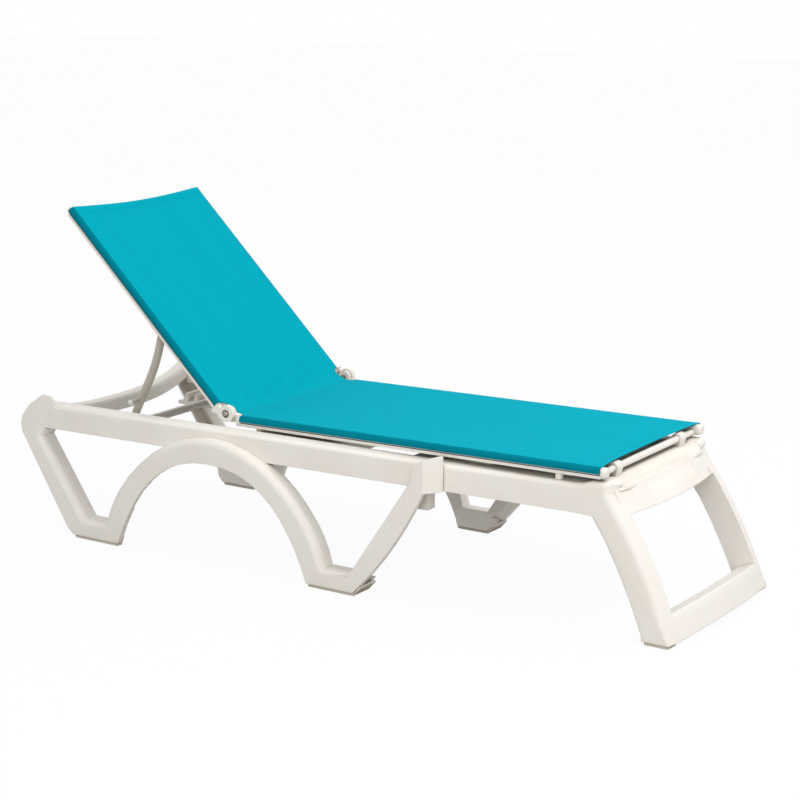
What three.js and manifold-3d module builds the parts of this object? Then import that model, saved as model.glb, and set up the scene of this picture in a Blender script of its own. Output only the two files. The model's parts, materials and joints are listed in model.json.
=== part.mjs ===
// Sling chaise lounge: moulded resin base, aluminium sling frame, adjustable back with a prop bail.
// Millimetres. +X runs to the foot end, +Z is up, and the floor is z = 0.
// Lengths along X are written from the hinge axis, and the finished model is centred over its base.
import * as THREE from 'three';
import Module from 'manifold-3d';
import { mergeVertices } from 'three/addons/utils/BufferGeometryUtils.js';

const wasm = await Module();
wasm.setup();

// Overall sizes
const headReach = 640;
const strutReach = 643;
const footReach = 1256;
const halfWidth = 360;
const hingeHeight = 381;
const hingeRise = 31;
const railTop = hingeHeight - hingeRise;
const backAngle = THREE.MathUtils.degToRad(44);
const gap = 0.3;
const grain = 0.1;
const weldDistance = 0.0003;
const overrun = 5;

// Base mouldings
const wall = 6;
const railDepth = 64;
const railBreadth = 57;
const railRound = 12;
const railHeadInset = 7;
const railStrutInset = 62;
const footRailInset = 2;
const footRailTaper = 38;
const footRailShort = 166;
const railHalfHead = halfWidth - railHeadInset;
const railHalfStrut = halfWidth - railStrutInset;
const railHalfFootStart = railHalfStrut - footRailInset;
const railHalfFoot = railHalfFootStart - footRailTaper;
const footRailEnd = footReach - footRailShort;
const edgeRound = 20;
const planInset = 8;
const leanInset = 6;
const legFlangeDepth = 57;
const footDepth = 84;
const legFlangeHalf = halfWidth - legFlangeDepth;
const footInnerHalf = halfWidth - footDepth;
const valleyHeight = 53;
const footFade = 60;
const footBlockTop = 95;
const archCentre = 3;
const archHalfSpan = 304;
const archFlank = 46;
const archBand = 64;
const archTopDrop = 20;
const archOuterSpan = archHalfSpan + archFlank;
const archOuterRise = railTop - archTopDrop;
const archRise = archOuterRise - archBand;
const archLip = 12;
const strutLip = 18;
const ribWidth = 4;
const ribPitch = 85;
const padHeight = 8;
const padInset = 4;
const padWrap = 5;

// Corner block at the strut
const blockRise = 21;
const blockSlant = 27;
const blockChamferRun = 46;
const blockHeadRise = 5;
const lugDrop = 54;
const lugSetback = 17;
const lugLength = 42;
const lugBreadth = 34;

// Foot frame
const tenonLength = 45;
const shoulderStep = 10;
const shoulderHeight = railTop + shoulderStep;
const legSplay = 14;
const footRound = 12;
const frontBow = 26;
const bowSteps = 12;
const bowShort = 256;
const bowStart = footReach - bowShort;
const windowInset = 40;
const windowFlare = 8;
const windowDrop = 66;
const windowHalfTop = railHalfFoot - windowInset;
const windowHalfLow = windowHalfTop + windowFlare;
const windowTop = railTop - windowDrop;
const windowLowCorner = 78;
const windowLowMiddle = 96;
const barLowCorner = 12;
const barLowMiddle = 31;
const slabRecess = 1.2;
const plateShort = 316;
const plateBack = footReach - plateShort;
const panelDrop = 10;
const plateTop = railTop - panelDrop;
const plateWall = 6;
const plateRise = 15;
const plateRidge = 45;
const plateHoleRadius = 3.5;

// Head beam and cross members
const beamInset = 52;
const beamStart = headReach - beamInset;
const beamLength = 44;
const beamDrop = 5;
const beamTop = railTop - beamDrop;
const beamDepth = 38;
const beamRound = 10;
const beamDish = 44;
const memberTop = railTop - panelDrop;
const memberDepth = 50;

// Prop racks
const rackPitch = 35;
const rackTeeth = 3;
const rackToothRise = 13;
const bailSeatDrop = 67;
const rackDrop = 88;
const rackFlangeDrop = 15;
const rackInset = 80;
const rackLength = 188;
const rackInboard = 111;
const rackOutboard = 21;
const rackFloor = railTop - rackDrop;
const rackFlangeTop = railTop - rackFlangeDrop;
const rackPlate = 6;
const rackStart = headReach - rackInset;
const rackEnd = rackStart - rackLength;

// Sling frame
const slingOverhang = 3;
const slingRailOuter = railHalfFoot + slingOverhang;
const slingRailBreadth = 26;
const slingRailHeight = 25;
const slingRailRound = 8;
const seatDrop = 5.4;
const seatSlope = 0.0155;
const seatRailStart = 36.3;
const seatRailShare = 0.8487;
const seatRailEnd = footReach * seatRailShare;
const backRailEnd = 700;
const grooveHeight = 8.5;
const grooveMouth = 2.4;
const grooveRadius = 4;
const grooveDepth = 6;
const splineRadius = 3;
const railBoreWall = 3;
const crossTubeRadius = 8.5;
const crossTubeDrop = -14.5;
const footTubeDrop = -19;
const endTubeInset = 12;
const seatHeadTubeAt = 52;
const seatFootTubeAt = seatRailEnd - endTubeInset;
const backTopTubeAt = backRailEnd - endTubeInset;
const backLowTubeAt = 60;
const capLength = 13;
const clothThickness = 2;
const clothGap = 0.4;
const clothSag = 5;
const clothDrop = 13;
const clothSteps = 8;
const clothEndOver = 6;
const clothTongue = 5;

// Hinge
const knuckleRadius = 22;
const seatKnuckleRadius = 17;
const knuckleInset = 12;
const knuckleSplitInset = 1.15;
const knuckleOverhang = 11;
const knuckleInner = slingRailOuter - knuckleInset;
const knuckleSplit = slingRailOuter - knuckleSplitInset;
const knuckleOuter = slingRailOuter + knuckleOverhang;
const knuckleNeck = 24.5;
const boltRadius = 4;
const boltHeadRadius = 7.5;
const boltHeadHeight = 4;
const boltDomeShares = [[1, 0.3], [0.7, 0.85], [0, 1]];
const nutRadius = 7.5;
const nutHeight = 8.5;

// Prop bail
const bailRadius = 11.2;
const bailPivotAlong = 307.5;
const bailPivotDrop = 35;
const bailInset = 48;
const bailBendInset = 5;
const bailCornerInset = 18;
const bailPivotHalf = slingRailOuter - bailInset;
const bailBendHalf = bailPivotHalf - bailBendInset;
const bailCornerHalf = bailPivotHalf - bailCornerInset;
const bailBendFillet = 60;
const bailCornerFillet = 66;
const pinRadius = 4;
const pinInset = 20;
const pinEnd = slingRailOuter - pinInset;
const bracketPlate = 6;
const bracketInset = 32.5;
const bracketInner = slingRailOuter - bracketInset;
const bracketLength = 46;
const bracketFlange = 2.7;
const stubRadius = 5.5;
const stubGap = 0.5;
const stubReach = 28;
const stubEnd = bailPivotHalf + stubReach;
const stubCapRadius = 7.5;
const stubCapHeight = 6;

// Rail posts and clips
const postRadius = 10;
const footPostInset = 15;
const footPostAt = plateBack + footPostInset;
const clipInset = 93;
const clipHalf = railHalfFoot - clipInset;
const clipBreadth = 26;
const clipLength = 34;

const soleHeight = padHeight + gap;

// Colours
const resin = { color: 0xece6db, roughness: 0.5, metalness: 0 };
const rubber = { color: 0x8f8c86, roughness: 0.85, metalness: 0 };
const cloth = { color: 0x00a9c0, roughness: 0.8, metalness: 0 };
const whiteMetal = { color: 0xf3f0ea, roughness: 0.4, metalness: 0.1 };
const bailMetal = { color: 0xb9b4a8, roughness: 0.45, metalness: 0.2 };
const steel = { color: 0x8d8d8d, roughness: 0.35, metalness: 0.9 };

const model = new THREE.Group();

// Small tools for building closed solids
const vec = (x, y, z) => new THREE.Vector3(x, y, z);
const flatXZ = (p) => new THREE.Vector2(p.x, p.z);
const flatYZ = (p) => new THREE.Vector2(p.y, p.z);
const lerp = THREE.MathUtils.lerp;

function signedVolume(points, faces) {
  let total = 0;
  for (const [a, b, c] of faces) {
    total += points[a].dot(new THREE.Vector3().crossVectors(points[b], points[c]));
  }
  return total;
}

function fromFaces(points, faces) {
  const turned = signedVolume(points, faces) < 0;
  const geometry = new THREE.BufferGeometry();
  geometry.setAttribute('position', new THREE.Float32BufferAttribute(points.flatMap((p) => p.toArray()), 3));
  geometry.setIndex(faces.flatMap(([a, b, c]) => (turned ? [a, c, b] : [a, b, c])));
  return geometry;
}

function capFaces(ring, flat, first) {
  const outline = ring.map(flat);
  const area = THREE.ShapeUtils.area(outline);
  return THREE.ShapeUtils.triangulateShape(outline, []).map(([a, b, c]) => {
    const same = THREE.ShapeUtils.area([outline[a], outline[b], outline[c]]) * area > 0;
    return same ? [first + a, first + b, first + c] : [first + a, first + c, first + b];
  });
}

// A closed body through rings with the same number of points; flat gives a ring's outline in its plane
function loft(rings, flat) {
  const count = rings[0].length;
  const last = (rings.length - 1) * count;
  const faces = capFaces(rings[0], flat, 0).map(([a, b, c]) => [a, c, b]);
  for (let r = 0; r < rings.length - 1; r += 1) {
    for (let i = 0; i < count; i += 1) {
      const j = (i + 1) % count;
      const [a, b, c, d] = [r * count + i, r * count + j, (r + 1) * count + j, (r + 1) * count + i];
      faces.push([a, b, c], [a, c, d]);
    }
  }
  faces.push(...capFaces(rings.at(-1), flat, last));
  return fromFaces(rings.flat(), faces);
}

function solid(geometry) {
  const bare = geometry.clone();
  bare.deleteAttribute('normal');
  bare.deleteAttribute('uv');
  const welded = mergeVertices(bare, weldDistance);
  const vertProperties = new Float32Array(welded.attributes.position.array);
  const triVerts = new Uint32Array(welded.index.array);
  const body = new wasm.Manifold(new wasm.Mesh({ numProp: 3, vertProperties, triVerts }));
  return body.volume() < 0 ? new wasm.Manifold(new wasm.Mesh({
    numProp: 3, vertProperties, triVerts: triVerts.map((v, i) => triVerts[i - (i % 3) + [0, 2, 1][i % 3]]),
  })) : body;
}

function surface(body) {
  const mesh = body.getMesh();
  const geometry = new THREE.BufferGeometry();
  geometry.setAttribute('position', new THREE.Float32BufferAttribute(mesh.vertProperties, 3));
  geometry.setIndex([...mesh.triVerts]);
  return geometry;
}

// The one body of a join, without the slivers and sealed pockets that two crossing shells can leave
const main = (body) => body.simplify(grain).decompose().sort((a, b) => b.volume() - a.volume())[0];

const join = (bodies) => bodies.reduce((all, body) => all.add(body));
const cut = (body, tools) => tools.reduce((rest, tool) => rest.subtract(tool), body);

function extrude(points, depth) {
  return new THREE.ExtrudeGeometry(new THREE.Shape(points), { depth, bevelEnabled: false, steps: 1 });
}

// A prism whose outline is drawn in X and Z, from y = from to y = to
function prismY(points, from, to) {
  const geometry = extrude(points.map(([x, z]) => new THREE.Vector2(x, z)), to - from);
  return geometry.rotateX(Math.PI / 2).translate(0, to, 0);
}

// A prism whose outline is drawn in X and Y
function prismZ(points, from, to) {
  return extrude(points.map(([x, y]) => new THREE.Vector2(x, y)), to - from).translate(0, 0, from);
}

function box(x0, x1, y0, y1, z0, z1) {
  const geometry = new THREE.BoxGeometry(x1 - x0, y1 - y0, z1 - z0);
  return geometry.translate((x0 + x1) / 2, (y0 + y1) / 2, (z0 + z1) / 2);
}

// A round bar along Y
function barY(x, z, radius, from, to, sides = 20) {
  const geometry = new THREE.CylinderGeometry(radius, radius, to - from, sides);
  return geometry.translate(x, 0, 0).translate(0, (from + to) / 2, z);
}

// A turned form along Y, from a profile of [radius, y] that starts and ends on the axis
function turnedY(x, z, profile, sides = 24) {
  const points = profile.map(([radius, y]) => new THREE.Vector2(radius, y));
  const geometry = new THREE.LatheGeometry(points, sides);
  return surface(solid(geometry)).translate(x, 0, z);
}

function mirrored(geometry) {
  const copy = (geometry.index ? geometry : mergeVertices(geometry)).clone().scale(1, -1, 1);
  const index = [...copy.index.array];
  for (let i = 0; i < index.length; i += 3) {
    [index[i + 1], index[i + 2]] = [index[i + 2], index[i + 1]];
  }
  copy.setIndex(index);
  return copy;
}

function add(name, geometry, finish) {
  const clean = geometry.index ? geometry : mergeVertices(geometry);
  const mesh = new THREE.Mesh(clean, new THREE.MeshStandardMaterial(finish));
  mesh.name = name;
  model.add(mesh);
}

function addPair(name, geometry, finish) {
  add(`${name}_left`, geometry, finish);
  add(`${name}_right`, mirrored(geometry), finish);
}

function bezier(points, count) {
  const ends = points.map(([x, z]) => new THREE.Vector2(x, z));
  const curve = ends.length === 3
    ? new THREE.QuadraticBezierCurve(...ends) : new THREE.CubicBezierCurve(...ends);
  return curve.getPoints(count).map((p) => [p.x, p.y]);
}

// Below this sine of a turn, an outline counts as smooth
const smoothTurnShare = 0.35;

// Moves each side of an outline inwards by its own distance; insets[i] belongs to the side from i to i + 1
function inset(outline, insets) {
  const area = THREE.ShapeUtils.area(outline.map(([x, z]) => new THREE.Vector2(x, z)));
  const turn = Math.sign(area);
  const count = outline.length;
  const normals = outline.map(([x, z], i) => {
    const [nextX, nextZ] = outline[(i + 1) % count];
    return new THREE.Vector2(nextZ - z, x - nextX).normalize().multiplyScalar(turn);
  });
  return outline.map(([x, z], i) => {
    const before = (i + count - 1) % count;
    const [n0, n1] = [normals[before], normals[i]];
    const [d0, d1] = [insets[before], insets[i]];
    const cross = n0.x * n1.y - n0.y * n1.x;
    if (Math.abs(cross) < smoothTurnShare) {
      const mean = n0.clone().add(n1);
      const move = (d0 + d1) / mean.lengthSq();
      return [x - mean.x * move, z - mean.y * move];
    }
    const moveX = (d1 * n0.y - d0 * n1.y) / cross;
    const moveZ = (d0 * n1.x - d1 * n0.x) / cross;
    return [x + moveX, z + moveZ];
  });
}

const quarter = (count) => Array.from({ length: count + 1 }, (_, i) => (i / count) * (Math.PI / 2));

// Side frame

// Half width over the rails: one straight taper on the side frames and another on the foot frame
const sideRailHalf = (x) => (
  lerp(railHalfHead, railHalfStrut, (x + headReach) / (strutReach + headReach))
);
const footRailHalf = (x) => (
  lerp(railHalfFootStart, railHalfFoot, Math.min(1, (x - strutReach) / (footRailEnd - strutReach)))
);
const railHalf = (x) => (x <= strutReach ? sideRailHalf(x) : footRailHalf(x));

const outerHalf = (x, z) => (
  halfWidth - planInset * (x + headReach) / (strutReach + headReach) - leanInset * z / railTop
);

// Shares of the head reach and of the rail height
const headLegShares = [
  [-0.659, 0.151], [-0.881, 0.743], [-0.852, 0.829], [-0.824, 0.94], [-0.806, 1.03], [-0.828, 1.07],
  [-0.872, 1.08], [-0.95, 0.985], [-0.991, 0.893], [-1, 0.817], [-0.995, 0.76], [-0.744, 0.063],
];
const headFootShare = 0.7125;
// Shares of the strut reach and of the rail height
const strutFootShares = [[0.6936, 0], [0.7185, 0.05]];
const strutBendShares = [0.8895, 0.4];
const strutTopShares = [[1, 0.814], [1, 0.97], [0.952, 0.97], [0.952, 0.92]];
const strutValleyShare = 0.6703;
// Shares of the half spans and rises for the arch's two curves
const archInnerShares = [[1, 0], [0.832, 0.53], [0.559, 1], [0, 1]];
const archOuterShares = [[1, 0], [0.957, 0.35], [0.543, 1], [0, 1]];
const softEdgeShare = 0.3;
const crispEdgeShare = 0.35;
const headLegTurn = 3;
const railStartShare = 0.93;
const legWebShares = [0.42, 0.66];
const archWebShares = [0.22, 0.36, 0.5, 0.64, 0.78];
const webReachShare = 0.9;

function archCurve(shares, span, rise, low, side) {
  const points = shares.map(([x, z]) => [archCentre + side * span * x, low + (rise - low) * z]);
  return bezier(side < 0 ? points : points.reverse(), 10);
}

// The closed side outline, with the share of the edge rounding and the lip depth of each side of it
function sideOutline() {
  const points = [];
  const weights = [];
  const lips = [];
  const run = (list, weight, lip) => {
    for (const point of list) {
      points.push(point);
      weights.push(weight);
      lips.push(lip);
    }
  };
  const inner = (side) => archCurve(archInnerShares, archHalfSpan, archRise, soleHeight, side);
  const outer = (side) => (
    archCurve(archOuterShares, archOuterSpan, archOuterRise, valleyHeight, side).reverse()
  );
  const foot = strutFootShares.map(([x, z]) => [strutReach * x, soleHeight + railTop * z]);
  const top = strutTopShares.map(([x, z]) => [strutReach * x, railTop * z]);
  const bend = [strutReach * strutBendShares[0], railTop * strutBendShares[1]];
  run([[-headReach * headFootShare, soleHeight]], 0, 0);
  run(inner(-1).slice(0, -1), 0, archLip);
  run(inner(1).slice(0, -1), 0, archLip);
  run(inner(1).slice(-1), 0, 0);
  run(foot.slice(0, 1), 0, 0);
  run(bezier([foot[1], bend, top[0]], 6).slice(0, -1), 0, strutLip);
  run(top.slice(0, -1), 0, 0);
  run(top.slice(-1), softEdgeShare, 0);
  run([[strutReach * strutValleyShare, valleyHeight]], 1, 0);
  run(outer(1).slice(0, -1), 1, 0);
  run(outer(-1), 1, 0);
  const leg = headLegShares.map(([x, z]) => [headReach * x, railTop * z]);
  run(leg.slice(0, headLegTurn), 1, 0);
  run(leg.slice(headLegTurn), crispEdgeShare, 0);
  return { points, weights, lips };
}

// The outline as a ring at one depth behind the outer face, its edges rounded less towards the floor
function sideRing(outline, insets, depth) {
  const moved = inset(outline, insets);
  return outline.map(([x, z], i) => {
    const fade = THREE.MathUtils.clamp((z - soleHeight) / footFade, 0, 1);
    const atX = lerp(x, moved[i][0], fade);
    const atZ = lerp(z, moved[i][1], fade);
    return vec(atX, outerHalf(atX, atZ) - depth, atZ);
  });
}

function roundedPanel(outline, weights, radius, front, depth, count) {
  const rings = quarter(count).map((angle) => {
    const move = radius * (1 - Math.cos(angle));
    return sideRing(outline, weights.map((w) => w * move), front + radius * (1 - Math.sin(angle)));
  });
  rings.unshift(sideRing(outline, weights.map(() => 0), depth));
  return solid(loft(rings, flatXZ));
}

function railSection(halfAt, x, margin, low) {
  const outer = halfAt(x) - margin;
  const inner = halfAt(x) - railBreadth + margin;
  const top = railTop - margin;
  const round = railRound - margin;
  const turns = quarter(3);
  const section = [vec(x, inner, low), vec(x, outer, low)];
  for (const t of turns) {
    section.push(vec(x, outer - round * (1 - Math.cos(t)), top - round * (1 - Math.sin(t))));
  }
  for (const t of turns.reverse()) {
    section.push(vec(x, inner + round * (1 - Math.cos(t)), top - round * (1 - Math.sin(t))));
  }
  return section;
}

const railBody = (halfAt, from, to, margin, low) => (
  solid(loft([from, to].map((x) => railSection(halfAt, x, margin, low)), flatYZ))
);

function crossRibs(from, to, low) {
  const count = Math.floor((to - from) / ribPitch);
  return Array.from({ length: count }, (_, i) => {
    const x = from + (i + 1) * (to - from) / (count + 1);
    return solid(box(x - ribWidth / 2, x + ribWidth / 2, 0, halfWidth, low, railTop));
  });
}

function cornerBlock() {
  const outer = outerHalf(strutReach, railTop);
  const inner = railHalfStrut - wall / 2;
  const end = strutReach + blockSlant;
  const plan = [
    [strutReach - blockSlant, inner], [strutReach, inner], [strutReach, railHalfFootStart + gap],
    [end, railHalfFootStart + gap], [end, railHalfStrut + railRound], [strutReach, outer],
    [strutReach - blockSlant, outer],
  ];
  const start = strutReach - blockSlant;
  const low = railTop - railDepth;
  const high = railTop + blockRise;
  const profile = [
    [start, low], [end + overrun, low], [end + overrun, high],
    [start + blockChamferRun, high], [start, railTop + blockHeadRise],
  ];
  const column = solid(prismZ(plan, low, high));
  return column.intersect(solid(prismY(profile, inner - overrun, outer + overrun)));
}

function sideFrame() {
  const { points, weights, lips } = sideOutline();
  const depth = halfWidth - footInnerHalf + overrun;
  const shell = roundedPanel(points, weights, edgeRound, 0, depth, 3);
  const walls = points.map(() => wall);
  const hollow = roundedPanel(inset(points, walls), weights, edgeRound - wall, wall, depth + overrun, 2);
  const openings = [archLip, strutLip].map((lip) => {
    const open = inset(points, lips.map((l) => (l === lip ? -overrun : wall)));
    const flat = open.map(() => 0);
    return solid(loft([sideRing(open, flat, depth + overrun), sideRing(open, flat, lip)], flatXZ));
  });
  const low = solid(box(-headReach, strutReach, 0, halfWidth + overrun, 0, footBlockTop));
  const cavity = join([hollow, ...openings]).subtract(low);
  const inside = [
    vec(0, legFlangeHalf, railTop + headReach), vec(0, legFlangeHalf, valleyHeight),
    vec(0, footInnerHalf, soleHeight), vec(0, footInnerHalf, -overrun), vec(0, 0, -overrun),
    vec(0, 0, railTop + headReach),
  ];
  const behind = solid(loft([inside, inside].map((ring, i) => (
    ring.map((p) => p.clone().setX((i === 0 ? -1 : 1) * (headReach + overrun)))
  )), flatYZ));
  const half = wall / 2;
  const core = roundedPanel(inset(points, points.map(() => half)), weights, edgeRound - half, half, depth, 2);
  const webs = join(legWebs()).intersect(core);
  const panel = shell.subtract(cavity).add(webs).subtract(behind);
  const railStart = -headReach * railStartShare;
  const bottom = railTop - railDepth;
  const rail = railBody(sideRailHalf, railStart, strutReach, 0, bottom);
  const channel = railBody(sideRailHalf, railStart + wall, strutReach + overrun, wall, bottom - overrun);
  const ribs = join(crossRibs(railStart, strutReach - tenonLength, bottom + wall))
    .intersect(railBody(sideRailHalf, railStart + half, strutReach, half, bottom));
  const lugEnd = strutReach - lugSetback;
  const lug = solid(box(
    lugEnd - lugLength, lugEnd, railHalfStrut - lugBreadth, railHalfStrut, bottom - lugDrop, bottom + half,
  ));
  const body = join([panel.subtract(channel), rail.subtract(channel), ribs, cornerBlock(), lug]);
  return surface(main(body));
}

// Webs across the hollow of the head leg, the arch and the strut
function legWebs() {
  const webs = [];
  const deep = legFlangeHalf + archLip;
  for (const share of legWebShares) {
    const z = railTop * share;
    webs.push(solid(box(-headReach, -headReach / 2, deep, halfWidth, z, z + ribWidth)));
    webs.push(solid(box(strutReach / 2, strutReach, deep, halfWidth, z, z + ribWidth)));
  }
  for (const share of archWebShares) {
    const web = new THREE.BoxGeometry(archOuterSpan, halfWidth - deep, ribWidth);
    web.translate(archOuterSpan * webReachShare, (halfWidth + deep) / 2, 0).rotateY(-Math.PI * share);
    webs.push(solid(web.translate(archCentre, 0, 0)));
  }
  return webs;
}

// Foot frame

// Shares of the foot reach and of the rail height, down the back of the leg
const legBackShares = [
  [0.812, 0.797], [0.8312, 0.789], [0.8623, 0.617], [0.8885, 0.451], [0.914, 0.271], [0.9403, 0.057],
];
const legSoleShare = 0.945;
const legFrontShares = [[1, 0], [0.9506, 0.53], [0.8622, 0.95]];
const shoulderShares = [[0.8646, 0], [0.855, 1], [0.832, 1], [0.812, 0.2], [0.796, 0]];

const legBlend = (x) => THREE.MathUtils.smoothstep(x, bowStart, footRailEnd);
const bow = (x, y) => frontBow * (1 - (y / railHalfFoot) ** 2) * legBlend(x);
const legHalf = (x, z) => railHalf(x) + legSplay * (1 - z / railTop) * legBlend(x);

function legFront() {
  const points = legFrontShares.map(([x, z]) => [footReach * x, z === 0 ? soleHeight : railTop * z]);
  return bezier(points, 8);
}

const legBack = () => legBackShares.slice(1).map(([x, z]) => [footReach * x, railTop * z]);

function footOutline() {
  const railLow = railTop - railDepth;
  const front = legFront();
  const shoulder = shoulderShares.map(([x, z]) => [footReach * x, railTop + (shoulderHeight - railTop) * z]);
  const points = [
    [strutReach + gap, railLow], [footReach * legBackShares[0][0], railTop * legBackShares[0][1]],
    ...legBack(), [footReach * legSoleShare, soleHeight], ...front, ...shoulder, [strutReach + gap, railTop],
  ];
  const weights = points.map(() => 1);
  weights[0] = 0;
  weights[1] = softEdgeShare;
  weights[points.length - 1] = 0;
  return { points, weights };
}

function footRing(points, depth) {
  return points.map(([x, z]) => {
    const y = legHalf(x, z) - depth;
    return vec(x + bow(x, y), y, z);
  });
}

function footSide() {
  const { points, weights } = footOutline();
  const rings = quarter(3).map((angle) => {
    const move = footRound * (1 - Math.cos(angle));
    const faded = inset(points, weights.map((w) => w * move)).map(([x, z], i) => {
      const fade = THREE.MathUtils.clamp((points[i][1] - soleHeight) / footRound, 0, 1);
      return [lerp(points[i][0], x, fade), lerp(points[i][1], z, fade)];
    });
    return footRing(faded, footRound * (1 - Math.sin(angle)));
  });
  rings.unshift(footRing(points, railBreadth));
  return solid(loft(rings, flatXZ));
}

// The leg's outline across the whole front, as one bowed slab
function frontSlab(frontMargin, backMargin, low, high, half) {
  const back = legBack().map(([x, z]) => [x + backMargin, z]);
  const front = legFront().map(([x, z]) => [x - frontMargin, z]);
  const sole = footReach * legSoleShare + backMargin;
  const outline = [
    [back[0][0], high], ...back.slice(0, -1), [sole, low], ...front.slice(0, -1), [front.at(-1)[0], high],
  ];
  outline[back.length + 1][1] = low;
  const rings = Array.from({ length: bowSteps + 1 }, (_, i) => {
    const y = lerp(-half, half, i / bowSteps);
    return outline.map(([x, z]) => vec(x + bow(footReach, y), y, z));
  });
  return solid(loft(rings, flatXZ));
}

// A prism along X through the front, from an outline in Y and Z
function throughFront(points) {
  const rings = [plateBack - overrun, footReach + frontBow + overrun].map((x) => (
    points.map(([y, z]) => vec(x, y, z))
  ));
  return solid(loft(rings, flatYZ));
}

function archedLine(half, corner, middle, count) {
  return Array.from({ length: count + 1 }, (_, i) => {
    const share = 2 * i / count - 1;
    return [half * share, lerp(middle, corner, share ** 2)];
  });
}

function footFrame() {
  const side = footSide();
  const low = railTop - railDepth;
  const railStart = strutReach + gap;
  const legStart = footReach * legBackShares[0][0];
  const channel = railBody(footRailHalf, railStart + wall, legStart, wall, low - overrun);
  const ribs = join(crossRibs(railStart + wall, legStart, low + wall))
    .intersect(railBody(footRailHalf, railStart, legStart + wall, wall / 2, low));
  const tenonHalf = railHalfStrut - wall - gap;
  const tenonInner = railHalf(strutReach - tenonLength) - railBreadth + wall + gap;
  const tenonHigh = railTop - railRound - wall;
  const tenon = solid(box(
    strutReach - tenonLength, railStart + wall / 2, tenonInner, tenonHalf, low + wall, tenonHigh,
  ));
  const sideParts = join([side.subtract(channel), ribs, tenon]);
  const otherSide = solid(mirrored(surface(sideParts)));
  const slab = frontSlab(slabRecess, 0, soleHeight, plateTop, windowHalfLow + wall);
  const window = throughFront([
    ...archedLine(windowHalfLow, windowLowCorner, windowLowMiddle, 10), [windowHalfTop, windowTop],
    [-windowHalfTop, windowTop],
  ]);
  const under = throughFront([
    [-windowHalfLow, -overrun], [windowHalfLow, -overrun],
    ...archedLine(windowHalfLow, barLowCorner, barLowMiddle, 10).reverse(),
  ]);
  const hollow = frontSlab(wall, -railBreadth, soleHeight + wall, plateTop - plateWall, halfWidth);
  const legZone = throughFront([
    [windowHalfLow + wall, soleHeight + wall], [legHalf(footReach, 0) - wall, soleHeight + wall],
    [legHalf(footReach, windowTop) - wall, windowTop], [windowHalfTop + wall, windowTop],
  ]);
  const barZone = throughFront([
    ...archedLine(windowHalfLow - wall, barLowCorner + wall, barLowMiddle + wall, 8),
    ...archedLine(windowHalfLow - wall, windowLowCorner - wall, windowLowMiddle - wall, 8).reverse(),
  ]);
  const beamZone = throughFront([
    [-windowHalfTop + wall, windowTop - overrun], [windowHalfTop - wall, windowTop - overrun],
    [windowHalfTop - wall, plateTop - plateWall], [-windowHalfTop + wall, plateTop - plateWall],
  ]);
  const zones = join([legZone, solid(mirrored(surface(legZone))), barZone, beamZone]);
  const plateHalf = railHalf(plateBack) - railBreadth + wall / 2;
  const plateFront = footReach * legFrontShares.at(-1)[0] - plateWall;
  const ridgeEnd = seatFootTubeAt + crossTubeRadius;
  const ridge = ridgeEnd - plateRidge;
  const upper = [
    [plateFront + frontBow, plateTop], [plateFront, plateTop], [ridgeEnd, plateTop + plateRise],
    [ridge, plateTop + plateRise], [ridge - plateRise, plateTop], [plateBack, plateTop],
  ];
  const lower = upper.map(([x, z]) => [x, z - plateWall]).reverse();
  const behindFront = plateBack - footReach * legBackShares[0][0] - frontBow - overrun;
  const trim = frontSlab(slabRecess, behindFront, soleHeight, railTop + plateRise, halfWidth);
  const plate = solid(prismY([...upper, ...lower], -plateHalf, plateHalf)).intersect(trim);
  const holes = plateHoleShares.map(([x, y]) => {
    const hole = new THREE.CylinderGeometry(plateHoleRadius, plateHoleRadius, railTop, 12);
    return solid(hole.rotateX(Math.PI / 2).translate(lerp(plateBack, plateFront, x), plateHalf * y, plateTop));
  });
  const frame = join([sideParts, otherSide, slab, plate]).subtract(hollow.intersect(zones));
  return surface(main(cut(frame, [window, under, ...holes])));
}

const plateHoleShares = [[0.69, -0.15], [0.69, 0.02]];

// Head beam and cross members, which end on the inner faces of the rails

const memberShares = [[0.0597, 0.2428], [0.422, 0.5255], [0.5812, 0.7006]];
const headPostShare = 0.0732;

const innerFace = (x) => railHalf(x) - railBreadth - gap;

// A channel across the frame; its middle hangs below its ends by dish
function channelAcross(outline, dish) {
  const stations = dish > 0 ? 14 : 1;
  const rings = Array.from({ length: stations + 1 }, (_, i) => {
    const share = 2 * i / stations - 1;
    const drop = dish * (1 - Math.abs(share) ** 3);
    return outline.map(([x, z]) => vec(x, innerFace(x) * share, z - drop));
  });
  return loft(rings, flatXZ);
}

function channelOutline(from, to, top, depth, round) {
  const low = top - depth;
  const turns = quarter(3);
  const crown = (x0, x1, high, radius) => [
    ...turns.map((t) => [x0 + radius * (1 - Math.cos(t)), high - radius * (1 - Math.sin(t))]),
    ...turns.toReversed().map((t) => [x1 - radius * (1 - Math.cos(t)), high - radius * (1 - Math.sin(t))]),
  ];
  return [
    [from, low], ...crown(from, to, top, round), [to, low],
    [to - wall, low], ...crown(from + wall, to - wall, top - wall, round / 2).reverse(), [from + wall, low],
  ];
}

// Posts between the base and the seat rails

const railUnderside = (x) => hingeHeight - seatDrop + seatSlope * x - slingRailHeight;
const postHalf = slingRailOuter - slingRailBreadth / 2;

function post(x, seat) {
  const top = railUnderside(x - postRadius) - gap;
  const geometry = new THREE.CylinderGeometry(postRadius, postRadius, top - seat - gap, 20);
  return geometry.rotateX(Math.PI / 2).translate(x, postHalf, (top + seat + gap) / 2);
}

// Foot pads

function padPair(name, list, outer, inner) {
  addPair(name, prismY(list, inner + padInset, outer - padInset), rubber);
}

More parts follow.
